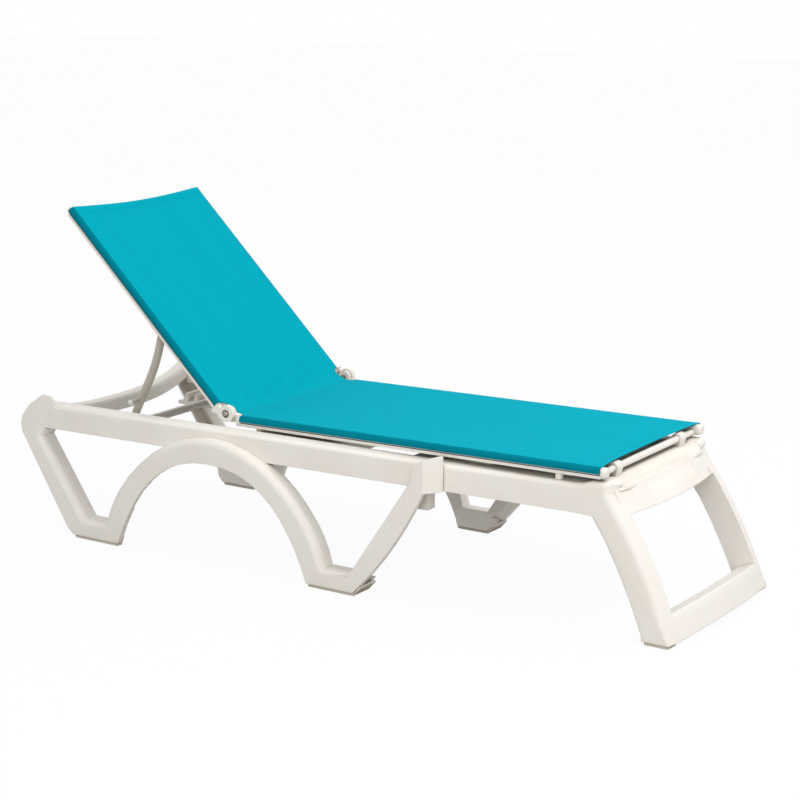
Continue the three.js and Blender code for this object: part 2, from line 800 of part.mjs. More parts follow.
function footPads() {
  const headEnd = -headReach * headFootShare;
  const archEnd = archCentre - archHalfSpan;
  const [head, arch] = [headEnd + padInset, archEnd - padInset];
  padPair('foot_pad_head', [[head, 0], [arch, 0], [arch, padHeight], [head, padHeight]],
    outerHalf(headEnd, 0), footInnerHalf);
  const [corner, rise] = strutFootShares.map(([x, z]) => (
    new THREE.Vector2(strutReach * x, soleHeight + railTop * z)
  ));
  const along = rise.clone().sub(corner).normalize();
  const out = new THREE.Vector2(along.y, -along.x);
  const near = out.clone().multiplyScalar(gap);
  const far = out.clone().multiplyScalar(gap + padWrap);
  const start = archCentre + archHalfSpan + padInset;
  padPair('foot_pad_strut', [
    [start, 0], [corner.x, 0], [rise.x + far.x, rise.y + far.y], [rise.x + near.x, rise.y + near.y],
    [corner.x + near.x, padHeight], [start, padHeight],
  ], outerHalf(corner.x, 0), footInnerHalf);
  const toe = footReach - padInset;
  const heel = footReach * legSoleShare + padInset;
  padPair('foot_pad_end', [[heel, 0], [toe, 0], [toe, padHeight], [heel, padHeight]],
    legHalf(footReach, 0), windowHalfLow);
}

// Frames that pieces are drawn in: along the rails, across, and square to the sling

const seatAlong = vec(1, 0, seatSlope).normalize();
const backAlong = vec(-Math.cos(backAngle), 0, Math.sin(backAngle));
const seatUp = vec(-seatAlong.z, 0, seatAlong.x);
const backUp = vec(Math.sin(backAngle), 0, Math.cos(backAngle));
const frames = {
  seat: { along: seatAlong, up: seatUp },
  back: { along: backAlong, up: backUp },
};

const frameOrigin = ({ up }) => vec(0, 0, hingeHeight).addScaledVector(up, -seatDrop);

function inFrame(frame, u, y, n) {
  return frameOrigin(frame).addScaledVector(frame.along, u).addScaledVector(frame.up, n).setY(y);
}

function placed(geometry, frame) {
  const { along, up } = frame;
  const origin = frameOrigin(frame);
  const matrix = new THREE.Matrix4().makeBasis(along, vec(0, 1, 0), up).setPosition(origin);
  const indexed = geometry.index ? geometry.clone() : mergeVertices(geometry);
  indexed.applyMatrix4(matrix);
  if (matrix.determinant() < 0) {
    const index = [...indexed.index.array];
    for (let i = 0; i < index.length; i += 3) {
      [index[i + 1], index[i + 2]] = [index[i + 2], index[i + 1]];
    }
    indexed.setIndex(index);
  }
  return indexed;
}

// A section drawn across a rail, run along it from u = from to u = to
function alongRail(shape, from, to) {
  const options = { depth: to - from, bevelEnabled: false, curveSegments: 8 };
  const geometry = new THREE.ExtrudeGeometry(shape, options);
  const turn = new THREE.Matrix4().makeBasis(vec(0, 1, 0), vec(0, 0, 1), vec(1, 0, 0));
  return geometry.applyMatrix4(turn).translate(from, 0, 0);
}

const grooveAt = -slingRailHeight + grooveHeight;
const grooveCentre = slingRailOuter - grooveDepth;

// The sling rail's section: a box with a rounded top, a keyhole groove outside and a bore
function slingRailShape() {
  const inner = slingRailOuter - slingRailBreadth;
  const mouth = grooveMouth / 2;
  const angle = Math.asin(mouth / grooveRadius);
  const shape = new THREE.Shape();
  shape.moveTo(inner, -slingRailHeight);
  shape.lineTo(slingRailOuter, -slingRailHeight);
  shape.lineTo(slingRailOuter, grooveAt - mouth);
  shape.absarc(grooveCentre, grooveAt, grooveRadius, -angle, angle, true);
  shape.lineTo(slingRailOuter, grooveAt + mouth);
  shape.lineTo(slingRailOuter, -slingRailRound);
  shape.absarc(slingRailOuter - slingRailRound, -slingRailRound, slingRailRound, 0, Math.PI / 2, false);
  shape.absarc(inner + slingRailRound, -slingRailRound, slingRailRound, Math.PI / 2, Math.PI, false);
  const bore = new THREE.Path();
  const right = grooveCentre - grooveRadius - railBoreWall;
  bore.moveTo(inner + railBoreWall, -slingRailHeight + railBoreWall);
  bore.lineTo(inner + railBoreWall, -slingRailRound);
  bore.lineTo(right, -slingRailRound);
  bore.lineTo(right, -slingRailHeight + railBoreWall);
  shape.holes.push(bore);
  return shape;
}

// The cloth's section: over both rails, sagging a little between them and down their outer sides
function clothShape() {
  const side = (offset) => {
    const radius = slingRailRound + offset;
    const centre = slingRailOuter - slingRailRound;
    const list = [[slingRailOuter + offset, -clothDrop]];
    for (const t of quarter(4)) {
      list.push([centre + radius * Math.cos(t), -slingRailRound + radius * Math.sin(t)]);
    }
    const spread = centre - slingRailRound;
    for (let i = 0; i <= clothSteps; i += 1) {
      const share = 1 - i / clothSteps;
      list.push([spread * share, offset - clothSag * (1 - share ** 2) ** 2]);
    }
    return list;
  };
  const whole = (offset) => {
    const half = side(offset);
    return [...half, ...half.slice(0, -1).map(([y, n]) => [-y, n]).reverse()];
  };
  const points = [...whole(clothGap + clothThickness), ...whole(clothGap).reverse()];
  return new THREE.Shape(points.map(([y, n]) => new THREE.Vector2(y, n)));
}

// End caps: the rail's outline closing to a rounded nose
function endCap(from) {
  const inner = slingRailOuter - slingRailBreadth;
  const rings = capStepShares.map(([along, narrowing]) => {
    const u = from + capLength * along;
    const margin = capLength * narrowing;
    const half = Math.min(slingRailBreadth, slingRailHeight) / 2 - margin;
    const corner = lerp(slingRailRound, half * capRoundShare, narrowing / capStepShares.at(-1)[1]);
    const [left, right] = [inner + margin, slingRailOuter - margin];
    const [low, high] = [margin - slingRailHeight, -margin];
    const centres = [[right, high, 0], [left, high, 1], [left, low, 2], [right, low, 3]];
    return centres.flatMap(([y, n, turn]) => quarter(4).map((t) => {
      const angle = t + turn * Math.PI / 2;
      const centreY = y + (y === right ? -corner : corner);
      const centreN = n + (n === high ? -corner : corner);
      return vec(u, centreY + corner * Math.cos(angle), centreN + corner * Math.sin(angle));
    }));
  });
  return surface(solid(loft(rings, flatYZ)));
}

const capStepShares = [[0, 0], [0.4, 0.03], [0.7, 0.1], [0.9, 0.22], [1, 0.36]];
const capRoundShare = 0.85;

const knuckleArmShare = 0.66;

// Hinge knuckle: a round lug beside the rail's end on a block that plugs it
function knuckle(radius, lugFrom, lugTo) {
  const disc = solid(barY(0, seatDrop, radius, lugFrom, lugTo, 32));
  const inner = slingRailOuter - slingRailBreadth;
  const outer = Math.max(slingRailOuter, lugTo);
  const block = solid(box(knuckleNeck, seatRailStart - gap, inner, outer, -slingRailHeight, -gap));
  const low = -slingRailHeight * knuckleArmShare;
  const arm = solid(box(0, seatRailStart - gap, lugFrom, lugTo, low, seatDrop / 2));
  const hole = solid(barY(0, seatDrop, boltRadius + gap, lugFrom - overrun, lugTo + overrun, 20));
  return surface(main(join([disc, block, arm]).subtract(hole)));
}

// The sheet, with a tongue between the knuckles that reaches for the hinge axis
function clothSheet(end) {
  const sheet = solid(alongRail(clothShape(), clothTongue, end));
  const start = seatRailStart + clothGap;
  const inner = slingRailOuter - slingRailBreadth - gap;
  const sides = [-1, 1].map((side) => solid(box(
    0, start, ...[side * inner, side * halfWidth].sort((a, b) => a - b), -slingRailHeight, slingRailHeight,
  )));
  return surface(main(cut(sheet, sides)));
}

function slingFrame(name, frame, railEnd, clothEnd) {
  addPair(`${name}_rail`, placed(alongRail(slingRailShape(), seatRailStart, railEnd), frame), whiteMetal);
  const spline = new THREE.Shape().absarc(grooveCentre, grooveAt, splineRadius, 0, 2 * Math.PI, false);
  addPair(`${name}_spline`, placed(alongRail(spline, seatRailStart + gap, railEnd - gap), frame), cloth);
  addPair(`${name}_end_cap`, placed(endCap(railEnd + gap), frame), whiteMetal);
  add(`sling_${name}`, placed(clothSheet(clothEnd), frame), cloth);
}

function crossTube(frame, u, n) {
  const half = slingRailOuter - slingRailBreadth - gap;
  const centre = inFrame(frame, u, 0, n);
  return barY(centre.x, centre.z, crossTubeRadius, -half, half);
}

// Clips that hold the seat's foot tube on the foot frame's plate
function clip() {
  const centre = inFrame(frames.seat, seatFootTubeAt, 0, footTubeDrop);
  const radius = crossTubeRadius + wall;
  const shape = new THREE.Shape();
  const base = plateTop + plateRise + gap;
  shape.moveTo(centre.x - clipLength / 2, base);
  shape.lineTo(centre.x + crossTubeRadius, base);
  shape.lineTo(centre.x + radius, centre.z);
  shape.absarc(centre.x, centre.z, radius, 0, Math.PI, false);
  const hole = new THREE.Path().absarc(centre.x, centre.z, crossTubeRadius + gap, 0, 2 * Math.PI, true);
  shape.holes.push(hole);
  const options = { depth: clipBreadth, bevelEnabled: false, curveSegments: 12 };
  const geometry = new THREE.ExtrudeGeometry(shape, options);
  return geometry.rotateX(Math.PI / 2).translate(0, clipHalf + clipBreadth / 2, 0);
}

// Prop bail: two arms and a cross part in one bent tube

const bailPivot = () => inFrame(frames.back, bailPivotAlong, bailPivotHalf, -bailPivotDrop);
// Shares of the head reach and of the hinge height
const bailBendShares = [-0.4375, 1.2205];
const bailCornerShare = -0.6078;
const bailBend = () => vec(headReach * bailBendShares[0], bailBendHalf, hingeHeight * bailBendShares[1]);
const bailCorner = () => vec(headReach * bailCornerShare, bailCornerHalf, railTop - bailSeatDrop);

function filletedPath(points, fillets) {
  const path = new THREE.CurvePath();
  let from = points[0];
  for (let i = 1; i < points.length - 1; i += 1) {
    const before = points[i].clone().sub(points[i - 1]).setLength(fillets[i - 1]);
    const after = points[i + 1].clone().sub(points[i]).setLength(fillets[i - 1]);
    const start = points[i].clone().sub(before);
    const end = points[i].clone().add(after);
    path.add(new THREE.LineCurve3(from, start));
    path.add(new THREE.QuadraticBezierCurve3(start, points[i], end));
    from = end;
  }
  path.add(new THREE.LineCurve3(from, points.at(-1)));
  return path;
}

function bailTube() {
  const near = [bailPivot(), bailBend(), bailCorner()];
  const far = near.toReversed().map((p) => p.clone().setY(-p.y));
  const fillets = [bailBendFillet, bailCornerFillet, bailCornerFillet, bailBendFillet];
  const path = filletedPath([...near, ...far], fillets);
  const round = new THREE.Shape().absarc(0, 0, bailRadius, 0, 2 * Math.PI, false);
  return new THREE.ExtrudeGeometry(round, { steps: 64, curveSegments: 5, extrudePath: path });
}

function stubPins() {
  const at = bailBend().lerp(bailCorner(), stubShare);
  const start = at.y + bailRadius + stubGap;
  addPair('bail_stub_pin', barY(at.x, at.z, stubRadius, start, stubEnd), bailMetal);
  const end = stubEnd + gap;
  const knob = stubCapShares.map(([r, y]) => [stubCapRadius * r, end + stubCapHeight * y]);
  addPair('stub_pin_cap', turnedY(at.x, at.z, knob, 16), whiteMetal);
}

const stubShare = 0.577;
const stubCapShares = [[0, 0], [1, 0], [1, 0.6], [0.7, 0.95], [0, 1]];

function bracket() {
  const plateHigh = -slingRailHeight - gap;
  const plateLow = -bailPivotDrop - pinRadius - bracketPlate;
  const from = bailPivotAlong - bracketLength / 2;
  const to = bailPivotAlong + bracketLength / 2;
  const plate = solid(box(from, to, bracketInner, bracketInner + bracketPlate, plateLow, plateHigh));
  const flangeEnd = slingRailOuter - bracketFlange;
  const flange = solid(box(from, to, bracketInner, flangeEnd, plateHigh - bracketFlange, plateHigh));
  const hole = solid(barY(bailPivotAlong, -bailPivotDrop, pinRadius + gap, bracketInner - overrun, pinEnd));
  return surface(main(plate.add(flange).subtract(hole)));
}

// Toothed rack for the bail's lower corner, on the inner face of the rail
function rack() {
  const seat = bailCorner();
  const reach = bailRadius + gap + gap;
  const cradle = rackArcShares.map((share) => {
    const angle = Math.PI * share;
    return [seat.x + reach * Math.cos(angle), seat.z + reach * Math.sin(angle)];
  });
  const profile = [[cradle[0][0], rackFloor], ...cradle];
  let x = cradle.at(-1)[0];
  const tip = seat.z + rackToothRise;
  for (let tooth = 0; tooth < rackTeeth; tooth += 1) {
    const slope = x - rackPitch * rackSlopeShare;
    profile.push([x, tip], [x - rackPitch * rackTipShare, tip], [slope, seat.z - bailRadius]);
    x -= rackPitch;
    profile.push([x, seat.z - bailRadius]);
  }
  profile.push([x, rackFloor]);
  const railLow = railTop - railDepth;
  const rackInnerHalf = railHalfFoot - rackInboard;
  const below = solid(box(x - overrun, 0, railHalfFoot - rackOutboard, halfWidth, 0, railLow + gap));
  const ledge = solid(prismY(profile, rackInnerHalf, halfWidth)).subtract(below);
  const flange = [
    [-rackStart, railLow + gap], [cradle[0][0], railLow + gap], [-rackEnd, rackFlangeTop],
    [-rackStart, rackFlangeTop],
  ];
  const face = [x - overrun, -rackEnd + overrun].map((at) => [at, innerFace(at)]);
  const trim = solid(prismZ([...face, [face[1][0], 0], [face[0][0], 0]], 0, hingeHeight));
  const plateFrom = innerFace(-rackEnd) - rackPlate;
  const plate = solid(prismY(flange, plateFrom, halfWidth));
  return surface(main(ledge.add(plate).intersect(trim)));
}

const rackArcShares = [1.32, 1.24, 1.16, 1.08, 1];
const rackTipShare = 0.2;
const rackSlopeShare = 0.5;

// The whole lounge
addPair('side_frame', sideFrame(), resin);
add('foot_frame', footFrame(), resin);
const beamOutline = channelOutline(-beamStart - beamLength, -beamStart, beamTop, beamDepth, beamRound);
add('head_beam', channelAcross(beamOutline, beamDish), resin);
memberShares.forEach((span, i) => {
  const outline = channelOutline(...span.map((x) => footReach * x), memberTop, memberDepth, railRound);
  add(`cross_member_${i + 1}`, channelAcross(outline, 0), resin);
});
footPads();
addPair('prop_rack', rack(), resin);
addPair('rail_post_head', post(footReach * headPostShare, memberTop), resin);
addPair('rail_post_foot', post(footPostAt, railTop), resin);
addPair('tube_clip', clip(), whiteMetal);

slingFrame('seat', frames.seat, seatRailEnd, seatRailEnd);
slingFrame('back', frames.back, backRailEnd, backRailEnd + clothEndOver);
add('seat_cross_tube_head', crossTube(frames.seat, seatHeadTubeAt, crossTubeDrop), whiteMetal);
add('seat_cross_tube_foot', crossTube(frames.seat, seatFootTubeAt, footTubeDrop), whiteMetal);
add('back_cross_tube_top', crossTube(frames.back, backTopTubeAt, crossTubeDrop), whiteMetal);
add('back_cross_tube_low', crossTube(frames.back, backLowTubeAt, crossTubeDrop), whiteMetal);

const seatKnuckle = knuckle(seatKnuckleRadius, knuckleInner, knuckleSplit - gap / 2);
const backKnuckle = knuckle(knuckleRadius, knuckleSplit + gap / 2, knuckleOuter);
addPair('seat_knuckle', placed(seatKnuckle, frames.seat), whiteMetal);
addPair('back_knuckle', placed(backKnuckle, frames.back), whiteMetal);
const headStart = knuckleOuter + gap;
const boltEnd = knuckleInner - gap - nutHeight;
const boltProfile = [
  [0, boltEnd], [boltRadius, boltEnd], [boltRadius, headStart], [boltHeadRadius, headStart],
  ...boltDomeShares.map(([r, y]) => [boltHeadRadius * r, headStart + boltHeadHeight * y]),
];
addPair('hinge_bolt', turnedY(0, hingeHeight, boltProfile), steel);
const nutEnd = knuckleInner - gap;
const nut = solid(barY(0, hingeHeight, nutRadius, nutEnd - nutHeight, nutEnd, 6));
addPair('hinge_nut', surface(nut.subtract(solid(barY(0, hingeHeight, boltRadius + gap, 0, halfWidth)))), steel);

add('bail_tube', bailTube(), bailMetal);
const pivot = bailPivot();
addPair('bail_pivot_pin', barY(pivot.x, pivot.z, pinRadius, bailPivotHalf + bailRadius + gap, pinEnd), steel);
addPair('bail_bracket', placed(bracket(), frames.back), whiteMetal);
stubPins();

// The origin is on the floor under the middle of the lounge
const extent = new THREE.Box3().setFromObject(model);
model.position.x = -(extent.min.x + extent.max.x) / 2;
model.updateMatrixWorld(true);

export default model;
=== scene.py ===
# Sling chaise lounge: the looks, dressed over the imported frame
import json
import math
import bpy
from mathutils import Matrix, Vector

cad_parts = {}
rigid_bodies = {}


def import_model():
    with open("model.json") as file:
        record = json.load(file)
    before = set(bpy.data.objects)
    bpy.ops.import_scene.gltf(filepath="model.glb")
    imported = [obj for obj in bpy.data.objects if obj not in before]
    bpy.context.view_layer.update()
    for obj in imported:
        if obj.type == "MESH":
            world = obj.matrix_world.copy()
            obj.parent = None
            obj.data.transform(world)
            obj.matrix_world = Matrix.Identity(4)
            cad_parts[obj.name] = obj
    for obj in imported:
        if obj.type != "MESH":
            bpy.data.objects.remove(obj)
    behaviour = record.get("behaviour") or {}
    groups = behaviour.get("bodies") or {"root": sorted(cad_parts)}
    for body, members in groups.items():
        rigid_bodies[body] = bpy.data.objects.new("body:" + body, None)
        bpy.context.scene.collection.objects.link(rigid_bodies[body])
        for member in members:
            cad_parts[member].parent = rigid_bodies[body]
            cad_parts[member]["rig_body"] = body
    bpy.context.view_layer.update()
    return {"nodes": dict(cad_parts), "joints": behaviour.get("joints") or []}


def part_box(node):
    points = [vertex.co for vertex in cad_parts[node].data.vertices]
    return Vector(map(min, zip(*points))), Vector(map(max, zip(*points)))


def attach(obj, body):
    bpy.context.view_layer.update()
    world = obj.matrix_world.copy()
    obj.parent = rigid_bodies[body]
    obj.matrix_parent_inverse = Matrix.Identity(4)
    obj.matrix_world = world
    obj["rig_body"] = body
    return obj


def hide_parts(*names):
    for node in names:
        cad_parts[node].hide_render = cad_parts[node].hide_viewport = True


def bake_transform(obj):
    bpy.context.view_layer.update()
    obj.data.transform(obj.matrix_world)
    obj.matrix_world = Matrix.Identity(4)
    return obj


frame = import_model()
nodes = frame["nodes"]
hinge = frame["joints"][0]["pos_m"]
print("frame loaded:", len(nodes), "nodes")

view = {"azimuth": 33.64, "elevation": 13.02, "distance": 5.153, "target": (0.0342, 0.0, 0.4095),
        "lens": 91.0, "sensor": 36}


def addCamera():
    azimuth = math.radians(view["azimuth"])
    elevation = math.radians(view["elevation"])
    flat = math.cos(elevation)
    back = Vector((math.sin(azimuth) * flat, -math.cos(azimuth) * flat, math.sin(elevation)))
    data = bpy.data.cameras.new("camera")
    data.lens = view["lens"]
    data.sensor_width = view["sensor"]
    camera = bpy.data.objects.new("camera", data)
    camera.location = Vector(view["target"]) + back * view["distance"]
    camera.rotation_euler = back.to_track_quat("Z", "Y").to_euler()
    bpy.context.scene.collection.objects.link(camera)
    bpy.context.scene.camera = camera


addCamera()
print("camera placed")


# Screen levels of 0 to 255 as linear colour
def linear(red, green, blue):
    def one(level):
        share = level / 255
        return share / 12.92 if share <= 0.04045 else ((share + 0.055) / 1.055) ** 2.4
    return (one(red), one(green), one(blue), 1.0)


# Helpers for shader trees
def newGroup(name, inputs, outputs):
    tree = bpy.data.node_groups.new(name, "ShaderNodeTree")
    for label, kind, value in inputs:
        socket = tree.interface.new_socket(label, in_out="INPUT", socket_type=kind)
        if value is not None:
            socket.default_value = value
    for label, kind in outputs:
        tree.interface.new_socket(label, in_out="OUTPUT", socket_type=kind)
    return tree, tree.nodes.new("NodeGroupInput").outputs, tree.nodes.new("NodeGroupOutput").inputs


def newMaterial(name):
    material = bpy.data.materials.new(name)
    material.use_nodes = True
    return material, material.node_tree, material.node_tree.nodes["Principled BSDF"]


def put(tree, kind, **settings):
    node = tree.nodes.new(kind)
    for name, value in settings.items():
        setattr(node, name, value)
    return node


def join(tree, fromSocket, toSocket):
    tree.links.new(fromSocket, toSocket)


# Gives a socket a value, or joins it to another socket
def feed(tree, socket, value):
    if isinstance(value, (int, float, tuple)):
        socket.default_value = value
    else:
        join(tree, value, socket)


def mathNode(tree, operation, *values):
    node = put(tree, "ShaderNodeMath", operation=operation)
    for socket, value in zip(node.inputs, values):
        feed(tree, socket, value)
    return node.outputs[0]


def mixColour(tree, factor, first, second, blend="MIX"):
    node = put(tree, "ShaderNodeMix", data_type="RGBA", blend_type=blend)
    for index, value in ((0, factor), (6, first), (7, second)):
        feed(tree, node.inputs[index], value)
    return node.outputs[2]


def noise(tree, vector, scale, detail, roughness=0.5):
    node = put(tree, "ShaderNodeTexNoise")
    for label, value in (("Vector", vector), ("Scale", scale), ("Detail", detail),
                         ("Roughness", roughness)):
        feed(tree, node.inputs[label], value)
    return node.outputs["Fac"]


def between(tree, value, low, high, toLow=0.0, toHigh=1.0):
    node = put(tree, "ShaderNodeMapRange")
    for label, given in (("Value", value), ("From Min", low), ("From Max", high), ("To Min", toLow),
                         ("To Max", toHigh)):
        feed(tree, node.inputs[label], given)
    return node.outputs["Result"]


def bumpNode(tree, distance, strength, height):
    node = put(tree, "ShaderNodeBump")
    for label, value in (("Distance", distance), ("Strength", strength), ("Height", height)):
        feed(tree, node.inputs[label], value)
    return node


# 1 for what the camera sees, directly or mirrored
def seenRays(tree):
    rays = put(tree, "ShaderNodeLightPath").outputs
    return mathNode(tree, "MAXIMUM", rays["Is Camera Ray"], rays["Is Glossy Ray"])


# Noises are given as scale, detail and roughness, and spans as from and to
skinLook = {
    "cloudDetail": 4.0, "cloudSpan": (0.3, 0.7),
    "speckle": (420.0, 2.0, 0.7), "speckleSpan": (0.56, 0.8), "speckleShare": 0.35,
    "edgeSamples": 6, "edgeSpan": (1.0, 0.86), "edgeShare": 0.45,
    # These keys paint shade into close, low places
    "shadeSamples": 8, "shadeReach": 0.045, "shadeSpan": (0.2, 0.62),
    "grime": (0.52, 0.47, 0.38, 1.0),
    "grainDetail": 2.0, "grainReach": 0.001, "shine": (35.0, 4.0, 0.6),
    "coatRoughness": 0.2, "specular": 0.4,
}


# Moulded or coated surface: cloudy tone, fine grain, lighter edges, and painted shade: a darker,
# browner tone where surfaces are close together
def makeSkinGroup():
    inputs = [("Light", "NodeSocketColor", None), ("Dark", "NodeSocketColor", None),
              ("Low", "NodeSocketColor", skinLook["grime"]),
              ("Cloud Scale", "NodeSocketFloat", 9.0), ("Grain Scale", "NodeSocketFloat", 900.0),
              ("Grain Height", "NodeSocketFloat", 0.05), ("Edge", "NodeSocketFloat", 0.0012),
              ("Rough Low", "NodeSocketFloat", 0.4), ("Rough High", "NodeSocketFloat", 0.55)]
    outputs = [("Color", "NodeSocketColor"), ("Roughness", "NodeSocketFloat"),
               ("Normal", "NodeSocketVector")]
    tree, given, out = newGroup("mouldedSkin", inputs, outputs)
    place = put(tree, "ShaderNodeTexCoord").outputs["Object"]
    cloud = noise(tree, place, given["Cloud Scale"], skinLook["cloudDetail"])
    tone = between(tree, cloud, *skinLook["cloudSpan"])
    colour = mixColour(tree, tone, given["Light"], given["Dark"])
    speckle = noise(tree, place, *skinLook["speckle"])
    spots = between(tree, speckle, *skinLook["speckleSpan"], 0.0, skinLook["speckleShare"])
    colour = mixColour(tree, spots, colour, given["Dark"])

    # Lighter colour towards rounded edges
    edge = put(tree, "ShaderNodeBevel", samples=skinLook["edgeSamples"])
    join(tree, given["Edge"], edge.inputs["Radius"])
    dot = put(tree, "ShaderNodeVectorMath", operation="DOT_PRODUCT")
    join(tree, edge.outputs["Normal"], dot.inputs[0])
    join(tree, put(tree, "ShaderNodeNewGeometry").outputs["Normal"], dot.inputs[1])
    edgeMask = between(tree, dot.outputs["Value"], *skinLook["edgeSpan"], 0.0, skinLook["edgeShare"])
    colour = mixColour(tree, edgeMask, colour, given["Light"])

    # Painted shade: darker and browner where other surfaces are close by, as in crevices and on the
    # rail tops under the sling
    closeBy = put(tree, "ShaderNodeAmbientOcclusion", samples=skinLook["shadeSamples"])
    closeBy.inputs["Distance"].default_value = skinLook["shadeReach"]
    shadeMask = between(tree, closeBy.outputs["AO"], *skinLook["shadeSpan"], 1.0, 0.0)
    join(tree, mixColour(tree, shadeMask, colour, given["Low"], "MULTIPLY"), out["Color"])

    grain = noise(tree, place, given["Grain Scale"], skinLook["grainDetail"])
    bump = bumpNode(tree, skinLook["grainReach"], given["Grain Height"], grain)
    join(tree, edge.outputs["Normal"], bump.inputs["Normal"])
    join(tree, bump.outputs["Normal"], out["Normal"])
    shine = noise(tree, place, *skinLook["shine"])
    rough = between(tree, shine, 0.0, 1.0, given["Rough Low"], given["Rough High"])
    join(tree, rough, out["Roughness"])
    return tree


weaveLook = {
    "warpGain": (0.45, 0.55), "weftGain": (0.45, 0.35), "toneGain": (0.4, 0.3),
    "streakStretch": (260.0, 2.0), "streak": (1.0, 2.0, 0.6), "streakGain": 6.0,
    "fleckStretch": (700.0, 240.0), "fleck": (1.0, 1.0, 0.5), "fleckSpan": (0.3, 0.7),
    "fleckShare": 0.28, "ribShare": 0.13,
}


# Woven mesh: coated yarns over and under each other, with lengthwise streaks
def makeWeaveGroup():
    inputs = [("Light", "NodeSocketColor", None), ("Dark", "NodeSocketColor", None),
              ("Yarn", "NodeSocketFloat", 0.0014), ("Rib", "NodeSocketFloat", 0.0072),
              ("Streak", "NodeSocketFloat", 0.08)]
    outputs = [("Color", "NodeSocketColor"), ("Height", "NodeSocketFloat"),
               ("Across", "NodeSocketFloat")]
    tree, given, out = newGroup("wovenMesh", inputs, outputs)
    split = put(tree, "ShaderNodeSeparateXYZ")
    join(tree, put(tree, "ShaderNodeTexCoord").outputs["UV"], split.inputs[0])
    across, along = split.outputs["X"], split.outputs["Y"]

    def do(operation, *values):
        return mathNode(tree, operation, *values)

    def stretched(scales):
        node = put(tree, "ShaderNodeCombineXYZ")
        for label, value, scale in zip("XY", (across, along), scales):
            join(tree, do("MULTIPLY", value, scale), node.inputs[label])
        return node.outputs[0]

    turnsAcross = do("DIVIDE", across, given["Yarn"])
    turnsAlong = do("DIVIDE", along, given["Yarn"])
    warp, weft = [do("ABSOLUTE", do("SINE", do("MULTIPLY", turns, math.pi)))
                  for turns in (turnsAcross, turnsAlong)]
    step = do("ADD", do("FLOOR", turnsAcross), do("FLOOR", turnsAlong))
    over = do("MODULO", do("ABSOLUTE", step), 2.0)
    height = put(tree, "ShaderNodeMix", data_type="FLOAT")
    crosswise = do("MULTIPLY", weft, do("MULTIPLY_ADD", warp, *weaveLook["weftGain"]))
    lengthwise = do("MULTIPLY", warp, do("MULTIPLY_ADD", weft, *weaveLook["warpGain"]))
    for index, value in ((0, over), (2, crosswise), (3, lengthwise)):
        join(tree, value, height.inputs[index])

    streak = noise(tree, stretched(weaveLook["streakStretch"]), *weaveLook["streak"])
    lines = do("MULTIPLY", do("SUBTRACT", streak, 0.5), given["Streak"])
    ribs = do("SINE", do("MULTIPLY", do("DIVIDE", across, given["Rib"]), 2 * math.pi))
    flecks = noise(tree, stretched(weaveLook["fleckStretch"]), *weaveLook["fleck"])
    share = weaveLook["fleckShare"]
    tone = do("MULTIPLY_ADD", height.outputs[0], *weaveLook["toneGain"])
    tone = do("ADD", tone, do("MULTIPLY", lines, weaveLook["streakGain"]))
    tone = do("ADD", tone, do("MULTIPLY", ribs, weaveLook["ribShare"]))
    tone = do("ADD", tone, between(tree, flecks, *weaveLook["fleckSpan"], -share, share))
    clamp = put(tree, "ShaderNodeClamp")
    join(tree, tone, clamp.inputs["Value"])
    join(tree, mixColour(tree, clamp.outputs[0], given["Dark"], given["Light"]), out["Color"])
    join(tree, height.outputs[0], out["Height"])
    join(tree, do("ABSOLUTE", across), out["Across"])
    return tree


skinGroup = makeSkinGroup()
weaveGroup = makeWeaveGroup()

finishes = {
    "resin": {"light": (246, 242, 236), "dark": (241, 236, 228), "cloud": 6.0, "grain": 1400.0,
              "height": 0.12, "edge": 0.0022, "rough": (0.42, 0.54), "metal": 0.0, "coat": 0.0},
    "whiteHardware": {"light": (241, 239, 234), "dark": (236, 233, 226), "cloud": 14.0,
                      "grain": 1900.0, "height": 0.08, "edge": 0.0008, "rough": (0.28, 0.38),
                      "metal": 0.0, "coat": 0.25},
    "propCoat": {"light": (197, 191, 179), "dark": (186, 180, 167), "cloud": 22.0, "grain": 1700.0,
                 "height": 0.1, "edge": 0.0008, "rough": (0.34, 0.46), "metal": 0.0, "coat": 0.2},
    "zincSteel": {"light": (176, 174, 170), "dark": (128, 126, 122), "cloud": 160.0,
                  "grain": 2600.0, "height": 0.1, "edge": 0.0004, "rough": (0.26, 0.42),
                  "metal": 1.0, "coat": 0.0},
    # Dark ring round the hinge bolts: painted shade
    "boltShade": {"light": (92, 86, 78), "dark": (58, 54, 49), "cloud": 160.0, "grain": 2600.0,
                  "height": 0.1, "edge": 0.0004, "rough": (0.4, 0.55), "metal": 1.0, "coat": 0.0},
    "padRubber": {"light": (238, 233, 224), "dark": (226, 220, 209), "cloud": 40.0, "grain": 1500.0,
                  "height": 0.2, "edge": 0.001, "rough": (0.62, 0.78), "metal": 0.0, "coat": 0.0},
    "splineRod": {"light": (16, 96, 112), "dark": (8, 66, 80), "cloud": 60.0, "grain": 1500.0,
                  "height": 0.1, "edge": 0.0004, "rough": (0.4, 0.55), "metal": 0.0, "coat": 0.0},
}


